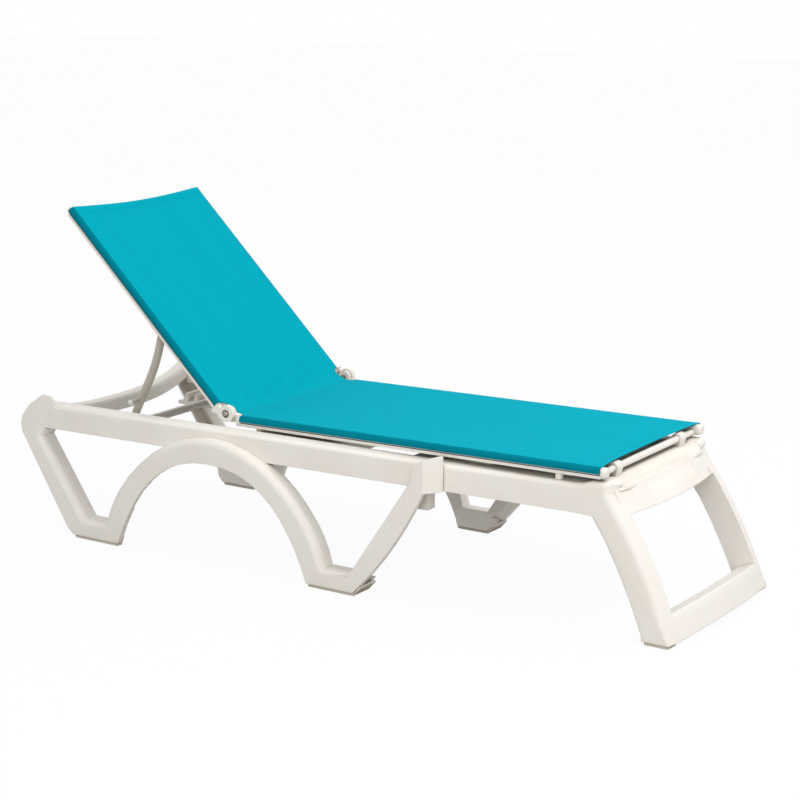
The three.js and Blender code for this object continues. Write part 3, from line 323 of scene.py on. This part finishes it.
def skinMaterial(name, values):
    material, tree, shader = newMaterial(name)
    shader.inputs["Metallic"].default_value = values["metal"]
    shader.inputs["Coat Weight"].default_value = values["coat"]
    shader.inputs["Coat Roughness"].default_value = skinLook["coatRoughness"]
    shader.inputs["Specular IOR Level"].default_value = skinLook["specular"]
    skin = put(tree, "ShaderNodeGroup", node_tree=skinGroup)
    for label, key in (("Light", "light"), ("Dark", "dark")):
        skin.inputs[label].default_value = linear(*values[key])
    for label, key in (("Cloud Scale", "cloud"), ("Grain Scale", "grain"),
                       ("Grain Height", "height"), ("Edge", "edge")):
        skin.inputs[label].default_value = values[key]
    for label, level in zip(("Rough Low", "Rough High"), values["rough"]):
        skin.inputs[label].default_value = level
    for label, target in (("Color", "Base Color"), ("Roughness", "Roughness"),
                          ("Normal", "Normal")):
        join(tree, skin.outputs[label], shader.inputs[target])
    return material


materials = {name: skinMaterial(name, values) for name, values in finishes.items()}

clothLook = {
    "light": (0, 196, 216), "dark": (0, 142, 166), "roughness": 0.85, "specular": 0.03,
    "band": (0, 112, 132), "bandStart": 0.2535, "bandEdge": 0.0015, "bandShare": 0.75,
    "bounce": (118, 118, 114), "bumpReach": 0.0004, "bumpStrength": 0.5,
}


# The dark band is the cloth's side wall over the rail; its darker colour is partly painted shade,
# for the side that turns away from the light; light that bounces off the cloth stays grey
def clothMaterial():
    material, tree, shader = newMaterial("slingMesh")
    shader.inputs["Roughness"].default_value = clothLook["roughness"]
    shader.inputs["Specular IOR Level"].default_value = clothLook["specular"]
    weave = put(tree, "ShaderNodeGroup", node_tree=weaveGroup)
    for label, key in (("Light", "light"), ("Dark", "dark")):
        weave.inputs[label].default_value = linear(*clothLook[key])
    # Painted shade, in part: the side wall over the rail is coloured darker
    start = clothLook["bandStart"]
    inBand = between(tree, weave.outputs["Across"], start, start + clothLook["bandEdge"], 0.0,
                     clothLook["bandShare"])
    colour = mixColour(tree, inBand, weave.outputs["Color"], linear(*clothLook["band"]))
    bounced = put(tree, "ShaderNodeLightPath").outputs["Is Diffuse Ray"]
    colour = mixColour(tree, bounced, colour, linear(*clothLook["bounce"]))
    join(tree, colour, shader.inputs["Base Color"])
    bump = bumpNode(tree, clothLook["bumpReach"], clothLook["bumpStrength"],
                    weave.outputs["Height"])
    join(tree, bump.outputs["Normal"], shader.inputs["Normal"])
    return material


slingMaterial = clothMaterial()
print("materials made:", len(materials) + 1)


def only(piece):
    if bpy.context.mode != "OBJECT":
        bpy.ops.object.mode_set(mode="OBJECT")
    bpy.ops.object.select_all(action="DESELECT")
    piece.select_set(True)
    bpy.context.view_layer.objects.active = piece


def dress(piece, material):
    piece.data.materials.clear()
    piece.data.materials.append(materials[material])


# Ends edit mode with every face pointing out
def faceOut():
    bpy.ops.mesh.select_all(action="SELECT")
    bpy.ops.mesh.normals_make_consistent(inside=False)
    bpy.ops.object.mode_set(mode="OBJECT")


# Shapes are drawn in millimetres from the hinge line and the floor
def at(x, y, z):
    return Vector((hinge[0] + x / 1000, y / 1000, z / 1000))


def standing(line, y):
    return [at(x, y, z) for x, z in line]


# Points along a bezier curve, in count steps
def bezier(points, count):
    rows = []
    for i in range(count + 1):
        line = [Vector(point) for point in points]
        while len(line) > 1:
            line = [a.lerp(b, i / count) for a, b in zip(line, line[1:])]
        rows.append(tuple(line[0]))
    return rows


# A flat face with its corners at the points, left selected in edit mode
def outlined(name, points):
    bpy.ops.object.select_all(action="DESELECT")
    bpy.ops.mesh.primitive_circle_add(vertices=len(points), radius=0.1, fill_type="NGON")
    piece = bpy.context.object
    piece.name = name
    for vertex, point in zip(piece.data.vertices, points):
        vertex.co = point
    bpy.ops.object.mode_set(mode="EDIT")
    bpy.ops.mesh.select_all(action="SELECT")
    return piece


def drawOn(reach):
    move = tuple(step / 1000 for step in reach)
    bpy.ops.mesh.extrude_region_move(TRANSFORM_OT_translate={"value": move})


# A block drawn out from an outline of points, wider or narrower at its far end
def drawnOut(name, points, reach, grow=None, centre=None):
    piece = outlined(name, points)
    drawOn(reach)
    if grow:
        bpy.ops.transform.resize(value=grow, center_override=tuple(centre))
    faceOut()
    return piece


def carve(piece, tool, operation="DIFFERENCE"):
    only(piece)
    change = piece.modifiers.new("carve", "BOOLEAN")
    change.operation = operation
    change.solver = "EXACT"
    change.object = tool
    bpy.ops.object.modifier_apply(modifier="carve")
    bpy.data.objects.remove(tool, do_unlink=True)


arch = {"centre": 3, "left": [(-301, 8), (-249.9, 144.7), (-166.9, 266), (3, 266)], "steps": 10,
        "floor": -20, "from": 342, "reach": 82, "spread": 1.2}
strut = {"edge": [(462.0, 25.5), (572.0, 140.0), (643.0, 284.9)], "steps": 6, "toe": 1.2,
         "low": 27, "far": 720, "from": 333.5, "reach": 37, "slant": 28}
crest = {"line": [(-660, 350.4), (-480, 350.4), (-480, 400), (-660, 400)],
         "from": 344.5, "reach": 60}
crestPlate = {"line": [(-601, 344), (-560, 370), (-534, 368), (-524, 357), (-529, 344)],
              "from": 349, "reach": 9, "narrow": (0.93, 1, 0.9), "centre": (-565, 0, 345)}
facet = {"crease": [(-603, 353.9, 350), (-584, 355.3, 262)], "seam": (-515, 348.4, 318),
         "end": -497, "high": 386, "reach": 30}


# The arch's opening, wider towards the inside
def archTool(side):
    left = bezier(arch["left"], arch["steps"])
    right = [(2 * arch["centre"] - x, z) for x, z in reversed(left[:-1])]
    line = [(left[0][0], arch["floor"])] + left + right + [(right[-1][0], arch["floor"])]
    return drawnOut("archTool", standing(line, side * arch["from"]), (0, -side * arch["reach"], 0),
                    (arch["spread"], 1, 1), at(arch["centre"], 0, 0))


# The strut's foot side, slanted back towards the inside
def strutTool(side):
    line = bezier(strut["edge"], strut["steps"])
    line[0] = (line[0][0] + strut["toe"], strut["low"])
    line += [(strut["far"], line[-1][1]), (strut["far"], strut["low"])]
    return drawnOut("strutTool", standing(line, side * strut["from"]),
                    (-strut["slant"], -side * strut["reach"], 0))


# Thins the head leg's crest from the inside
def crestTool(side):
    return drawnOut("crestTool", standing(crest["line"], side * crest["from"]),
                    (0, -side * crest["reach"], 0))


# A plate that closes the thinned crest from behind
def crestBack(side):
    return drawnOut("crestBack", standing(crestPlate["line"], side * crestPlate["from"]),
                    (0, -side * crestPlate["reach"], 0), crestPlate["narrow"],
                    at(*crestPlate["centre"]))


# A shallow facet from the head leg's crease down to the rail
def facetTool(side):
    (x0, y0, z0), (x1, y1, z1) = facet["crease"]
    x2, y2, z2 = facet["seam"]
    normal = Vector((x1 - x0, y1 - y0, z1 - z0)).cross(Vector((x2 - x0, y2 - y0, z2 - z0)))

    def onFacet(x, z):
        return y0 - (normal.x * (x - x0) + normal.z * (z - z0)) / normal.y

    lean = (x1 - x0) / (z1 - z0)
    end, high = facet["end"], facet["high"]
    line = [(x0 + lean * (high - z0), high), (x1, z1), (end, z1), (end, high)]
    points = [at(x, side * onFacet(x, z), z) for x, z in line]
    return drawnOut("facetTool", points, (0, side * facet["reach"], 0))


window = {"line": [(-226, -5), (226, -5), (225.9, 78), (224.9, 100), (-224.9, 100), (-225.9, 78)],
          "from": 1090, "reach": 220}
footBar = {"half": 229, "bow": 26, "bowHalf": 258, "arch": 12, "steps": 16,
           "section": [(1255.5, 9), (1249.3, 26), (1244.1, 40), (1239.7, 52), (1234.3, 65),
                       (1230, 69), (1190.5, 54), (1188, 50), (1194, 9)]}


# Opens the foot frame's window down to the new bar
def windowTool():
    points = [at(window["from"], y, z) for y, z in window["line"]]
    return drawnOut("windowTool", points, (window["reach"], 0, 0))


# The foot bar: its section carried across the frame in short steps along the bow and the low arch
def barPiece():
    steps, half = footBar["steps"], footBar["half"]

    def shift(y):
        bow = 1 - (y / footBar["bowHalf"]) ** 2
        return footBar["bow"] * bow, footBar["arch"] * (1 - (y / half) ** 2)

    startX, startZ = shift(-half)
    piece = outlined("footBar", [at(x + startX, -half, z + startZ) for x, z in footBar["section"]])
    rows = [-half + 2 * half * i / steps for i in range(steps + 1)]
    for before, after in zip(rows, rows[1:]):
        (x0, z0), (x1, z1) = shift(before), shift(after)
        drawOn((x1 - x0, 2 * half / steps, z1 - z0))
    faceOut()
    return piece


# Stations: place along, height of the ridge, and how far in the slope ends
shoulder = {"stations": [(1003, 351.5, 193), (1030, 358, 185), (1052, 360.5, 180),
                         (1071, 359.5, 177), (1086, 355, 177), (1095.2, 347, 181)],
            "outer": 207, "low": 331, "ridge": 4, "skirt": 3}


# The sloping inner side of a foot shoulder, drawn on from station to station
def shoulderPiece(side):
    stations = shoulder["stations"]
    outer, low = shoulder["outer"], shoulder["low"]

    def section(x, high, inner):
        line = ((outer, low), (outer, high), (outer - shoulder["ridge"], high),
                (inner, low + shoulder["skirt"]), (inner, low))
        return [at(x, side * y, z) for y, z in line]

    piece = outlined("footShoulder", section(*stations[0]))
    for before, after in zip(stations, stations[1:]):
        bpy.ops.object.mode_set(mode="EDIT")
        drawOn((after[0] - before[0], 0, 0))
        bpy.ops.object.mode_set(mode="OBJECT")
        moved = [vertex for vertex in piece.data.vertices if vertex.select]
        for old, new in zip(section(after[0], *before[1:]), section(*after)):
            nearest = min(moved, key=lambda vertex: (vertex.co - old).length)
            nearest.co = new
            moved.remove(nearest)
    only(piece)
    bpy.ops.object.mode_set(mode="EDIT")
    faceOut()
    return piece


lip = {"line": [(1103.4, 340), (1113.4, 323.5), (1130, 340), (1112, 356), (1103.4, 352)],
       "from": 168, "reach": 54, "lean": 11.7}


# Takes the corner off the plate's lip, so that it runs into the leg's front
def lipTool(side):
    return drawnOut("lipTool", standing(lip["line"], side * lip["from"]),
                    (-lip["lean"], side * lip["reach"], 0))


def trim(piece, node):
    side = 1 if node.endswith("left") else -1
    if node.startswith("side_frame"):
        for tool in (archTool(side), strutTool(side), crestTool(side)):
            carve(piece, tool)
        carve(piece, crestBack(side), "UNION")
        carve(piece, facetTool(side))
    if node.startswith(("foot_pad_head", "foot_pad_strut")):
        carve(piece, archTool(side))
    if node == "foot_frame":
        carve(piece, windowTool())
        carve(piece, barPiece(), "UNION")
        for side in (1, -1):
            carve(piece, shoulderPiece(side), "UNION")
            carve(piece, lipTool(side))


merging = {"distance": 0.00003, "flatAngle": 0.4}


def mergePoints(piece):
    only(piece)
    bpy.ops.object.mode_set(mode="EDIT")
    bpy.ops.mesh.select_all(action="SELECT")
    bpy.ops.mesh.remove_doubles(threshold=merging["distance"])


# A piece that carries a CAD node's shape: merged, trimmed and smoothly shaded
def skinNode(node, material, angle):
    words = node.split("_")
    name = words[0] + "".join(word.capitalize() for word in words[1:])
    piece = bpy.data.objects.new(name, nodes[node].data.copy())
    bpy.context.scene.collection.objects.link(piece)
    mergePoints(piece)
    bpy.ops.object.mode_set(mode="OBJECT")
    trim(piece, node)
    mergePoints(piece)
    bpy.ops.mesh.dissolve_limited(angle_limit=math.radians(merging["flatAngle"]))
    bpy.ops.object.mode_set(mode="OBJECT")
    bpy.ops.object.shade_smooth_by_angle(angle=math.radians(angle))
    weighted = piece.modifiers.new("weighted", "WEIGHTED_NORMAL")
    weighted.keep_sharp = True
    bpy.ops.object.modifier_apply(modifier="weighted")
    dress(piece, material)
    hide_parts(node)
    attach(piece, nodes[node]["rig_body"])


bySide = ("left", "right")


def onSides(*names):
    return [name + "_" + side for name in names for side in bySide]


skinned = {
    "resin": onSides("side_frame")
             + ["foot_frame", "head_beam", "cross_member_1", "cross_member_2", "cross_member_3"]
             + onSides("rail_post_head", "rail_post_foot"),
    "whiteHardware": onSides("seat_rail", "seat_end_cap", "seat_knuckle",
                             "back_rail", "back_end_cap", "back_knuckle")
                     + ["seat_cross_tube_head", "seat_cross_tube_foot",
                        "back_cross_tube_top", "back_cross_tube_low"]
                     + onSides("tube_clip", "bail_bracket", "stub_pin_cap"),
    "propCoat": ["bail_tube"] + onSides("bail_stub_pin"),
    "zincSteel": onSides("hinge_bolt", "hinge_nut", "bail_pivot_pin"),
    "padRubber": onSides("foot_pad_head", "foot_pad_strut", "foot_pad_end"),
}
kept = {"resin": onSides("prop_rack"), "splineRod": onSides("seat_spline", "back_spline")}
smoothAngle = {"resin": 32, "whiteHardware": 38, "propCoat": 40, "zincSteel": 34, "padRubber": 30}
for material, names in skinned.items():
    for node in names:
        skinNode(node, material, smoothAngle[material])
for material, names in kept.items():
    for node in names:
        dress(nodes[node], material)
print("skins made:", sum(map(len, skinned.values())))

boltRing = {"radius": 0.0088, "wire": 0.0013, "segments": (36, 10), "flat": 0.6,
            "proud": 0.0006, "smooth": 60}


# Dark ring round the head of each hinge bolt, seated on the knuckle's outer face: a painted shadow
# standing for the shade round the bolt head
def makeBoltRing(side):
    sign = 1 if side == "left" else -1
    outer = max(abs(corner[1]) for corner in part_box("back_knuckle_" + side))
    around, section = boltRing["segments"]
    bpy.ops.object.select_all(action="DESELECT")
    bpy.ops.mesh.primitive_torus_add(major_radius=boltRing["radius"], minor_radius=boltRing["wire"],
                                     major_segments=around, minor_segments=section,
                                     rotation=(math.pi / 2, 0, 0))
    ring = bpy.context.object
    ring.name = "boltRing" + side.capitalize()
    bpy.ops.object.transform_apply(location=True, rotation=True, scale=True)
    bpy.ops.object.mode_set(mode="EDIT")
    bpy.ops.mesh.select_all(action="SELECT")
    bpy.ops.transform.resize(value=(1, boltRing["flat"], 1), center_override=(0, 0, 0))
    bpy.ops.transform.translate(value=(hinge[0], sign * (outer + boltRing["proud"]), hinge[2]))
    bpy.ops.object.mode_set(mode="OBJECT")
    bpy.ops.object.shade_smooth_by_angle(angle=math.radians(boltRing["smooth"]))
    dress(ring, "boltShade")
    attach(ring, nodes["hinge_bolt_" + side]["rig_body"])


for side in bySide:
    makeBoltRing(side)
print("bolt rings made")

sling = {
    "railOuter": 0.261, "railRound": 0.008, "lift": 0.0008, "thickness": 0.0016, "sag": 0.004,
    "sideDrop": 0.0135, "tongue": 0.2372, "tongueEnd": 0.022, "knuckle": 0.0364, "fullFrom": 0.0367,
    "shoulder": 0.2462, "backAngle": 44.0, "seatSlope": 0.0155, "drop": 0.0054, "crease": 0.03,
    "backEnd": 0.706, "seatEnd": 1.066, "hem": 0.022, "hemStep": 0.0003, "hemFold": 0.0006,
    "hollow": {"back": 0.010, "seat": 0.018}, "hollowRun": 0.16, "rowPitch": 0.012,
    "bendSteps": 14, "flatSteps": 16, "wrapSteps": 6, "dropSteps": 3, "smooth": 40,
}
railCentre = sling["railOuter"] - sling["railRound"]
wrapRadius = sling["railRound"] + sling["lift"]
wrapArc = wrapRadius * math.pi / 2


# How far out and how high the cloth is, at a reach from the middle measured along the cloth
def acrossSection(reach):
    if reach <= railCentre:
        share = min(reach / (railCentre - sling["railRound"]), 1.0)
        return reach, sling["lift"] - sling["sag"] * (1 - share ** 2) ** 2
    low = -sling["railRound"]
    if reach <= railCentre + wrapArc:
        turn = (reach - railCentre) / wrapRadius
        return railCentre + wrapRadius * math.sin(turn), low + wrapRadius * math.cos(turn)
    return railCentre + wrapRadius, low - (reach - railCentre - wrapArc)


def fullReach():
    return railCentre + wrapArc + sling["sideDrop"] - sling["railRound"]


# The cloth narrows to a tongue between the hinge knuckles
def reachAt(distance):
    if distance >= sling["fullFrom"]:
        return fullReach()
    share = (distance - sling["tongueEnd"]) / (sling["knuckle"] - sling["tongueEnd"])
    return sling["tongue"] + (sling["shoulder"] - sling["tongue"]) * min(max(share, 0.0), 1.0) ** 2


# Rows from the back's top to the seat's foot end: point, up, distance from the hinge, part and way
def alongPath():
    pivot = Vector(hinge)
    backTurn = math.radians(sling["backAngle"])
    slope = math.atan(sling["seatSlope"])
    ways = {
        "back": (Vector((-math.cos(backTurn), 0, math.sin(backTurn))),
                 Vector((math.sin(backTurn), 0, math.cos(backTurn)))),
        "seat": (Vector((math.cos(slope), 0, math.sin(slope))),
                 Vector((-math.sin(slope), 0, math.cos(slope)))),
    }
    rows = []

    def straight(part, distances):
        along, up = ways[part]
        start = pivot - up * sling["drop"]
        for distance in distances:
            rows.append((start + along * distance, up, distance, part, along))

    def distancesTo(end):
        hemStart, first = end - sling["hem"], sling["fullFrom"]
        count = round((hemStart - first) / sling["rowPitch"])
        steps = [sling["crease"], sling["knuckle"]]
        steps += [first + (hemStart - first) * i / count for i in range(count + 1)]
        return steps + [hemStart + sling["hemFold"], hemStart + sling["hem"] / 2, end]

    straight("back", reversed(distancesTo(sling["backEnd"])))
    backEnd = rows[-1][0]
    along, up = ways["seat"]
    seatStart = pivot - up * sling["drop"] + along * sling["crease"]
    corner = pivot - up * sling["drop"] - along * sling["drop"] * math.tan((backTurn + slope) / 2)
    for i in range(1, sling["bendSteps"]):
        t = i / sling["bendSteps"]
        point = backEnd * (1 - t) ** 2 + corner * 2 * t * (1 - t) + seatStart * t ** 2
        way = ((corner - backEnd) * (1 - t) + (seatStart - corner) * t).normalized()
        distance = abs(2 * t - 1) * sling["crease"]
        part = "seat" if t >= 0.5 else "back"
        rows.append((point, Vector((-way.z, 0, way.x)), distance, part, way))
    straight("seat", distancesTo(sling["seatEnd"]))
    return rows


def acrossShares():
    full = fullReach()
    drop = full - railCentre - wrapArc
    flat, wrap, fall = sling["flatSteps"], sling["wrapSteps"], sling["dropSteps"]
    shares = [railCentre / full * i / flat for i in range(flat)]
    shares += [(railCentre + wrapArc * i / wrap) / full for i in range(wrap + 1)]
    shares += [(railCentre + wrapArc + drop * i / fall) / full for i in range(1, fall + 1)]
    return [-share for share in reversed(shares[1:])] + shares


def makeSling():
    rows = alongPath()
    shares = acrossShares()
    points, uvs = [], []
    travelled = 0.0
    last = rows[0][0]
    for point, up, distance, part, along in rows:
        travelled += (point - last).length
        last = point
        end = sling[part + "End"]
        hollow = sling["hollow"][part] * max(0.0, 1 - (end - distance) / sling["hollowRun"]) ** 2
        raised = sling["hemStep"] if distance > end - sling["hem"] + sling["hemFold"] / 2 else 0.0
        reach = reachAt(distance)
        for share in shares:
            wide, high = acrossSection(abs(share) * reach)
            side = math.copysign(1.0, share)
            lift = raised if wide < sling["railOuter"] else 0.0
            inwards = 1 - min(1.0, wide / sling["railOuter"]) ** 2
            place = point + up * (high + lift) - along * hollow * inwards
            points.append((place.x, side * wide, place.z))
            uvs.append((share * reach, travelled))
    count = len(shares)
    faces = []
    for i in range(len(rows) - 1):
        for j in range(count - 1):
            a = i * count + j
            faces.append((a, a + count, a + count + 1, a + 1))
    mesh = bpy.data.meshes.new("slingSheet")
    mesh.from_pydata(points, [], faces)
    layer = mesh.uv_layers.new(name="UVMap")
    for loop in mesh.loops:
        layer.data[loop.index].uv = uvs[loop.vertex_index]
    piece = bpy.data.objects.new("slingSheet", mesh)
    bpy.context.scene.collection.objects.link(piece)
    only(piece)
    bpy.ops.object.mode_set(mode="EDIT")
    faceOut()
    upward = sum(face.normal.z for face in mesh.polygons) > 0
    thick = piece.modifiers.new("thick", "SOLIDIFY")
    thick.thickness = sling["thickness"]
    thick.offset = 1.0 if upward else -1.0
    bpy.ops.object.modifier_apply(modifier="thick")
    bpy.ops.object.shade_smooth_by_angle(angle=math.radians(sling["smooth"]))
    piece.data.materials.append(slingMaterial)
    print("sling length", round(travelled, 4), "width", round(2 * fullReach(), 4))
    return piece, travelled


slingPiece, slingLength = makeSling()
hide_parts("sling_seat", "sling_back")
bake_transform(slingPiece)
print("sling made")

# "seen" is what the camera gets, "bounce" is what lights the object
seenWhite = (1.0, 1.0, 1.0, 1.0)
floorLook = {"size": 40, "roughness": 0.9, "specular": 0.1, "bounce": (0.5, 0.49, 0.47, 1.0),
             "glow": 0.95}
worldLook = {"strength": 1.0, "bounce": (0.64, 0.632, 0.62, 1.0)}


def addStage():
    bpy.ops.object.select_all(action="DESELECT")
    bpy.ops.mesh.primitive_plane_add(size=floorLook["size"], location=(0, 0, 0))
    floor = bpy.context.object
    floor.name = "studioFloor"
    material, tree, shader = newMaterial("studioFloor")
    shader.inputs["Roughness"].default_value = floorLook["roughness"]
    shader.inputs["Specular IOR Level"].default_value = floorLook["specular"]
    seen = seenRays(tree)
    join(tree, mixColour(tree, seen, floorLook["bounce"], seenWhite), shader.inputs["Base Color"])
    glow = put(tree, "ShaderNodeEmission")
    mix = put(tree, "ShaderNodeMixShader")
    join(tree, mathNode(tree, "MULTIPLY", seen, floorLook["glow"]), mix.inputs[0])
    join(tree, shader.outputs[0], mix.inputs[1])
    join(tree, glow.outputs[0], mix.inputs[2])
    join(tree, mix.outputs[0], tree.nodes["Material Output"].inputs["Surface"])
    floor.data.materials.append(material)


def addWorld():
    world = bpy.data.worlds.new("studio")
    world.use_nodes = True
    bpy.context.scene.world = world
    tree = world.node_tree
    background = tree.nodes["Background"]
    background.inputs["Strength"].default_value = worldLook["strength"]
    colour = mixColour(tree, seenRays(tree), worldLook["bounce"], seenWhite)
    join(tree, colour, background.inputs["Color"])


lampAim = Vector((0, 0, 0.3))
lamps = {
    "keyLamp": {"from": (2.2, 0.2, 3.5), "size": 2.6, "power": 62},
    "fillLamp": {"from": (2.0, -3.8, 1.9), "size": 2.8, "power": 50},
    "backLamp": {"from": (-2.2, 2.6, 3.0), "size": 2.6, "power": 26},
}


def addLamps():
    for name, values in lamps.items():
        data = bpy.data.lights.new(name, "AREA")
        data.shape = "SQUARE"
        data.size = values["size"]
        data.energy = values["power"]
        lamp = bpy.data.objects.new(name, data)
        lamp.location = values["from"]
        lamp.rotation_euler = (Vector(values["from"]) - lampAim).to_track_quat("Z", "Y").to_euler()
        bpy.context.scene.collection.objects.link(lamp)


addStage()
addWorld()
addLamps()
bpy.context.scene.view_settings.view_transform = "Standard"
print("stage lit")
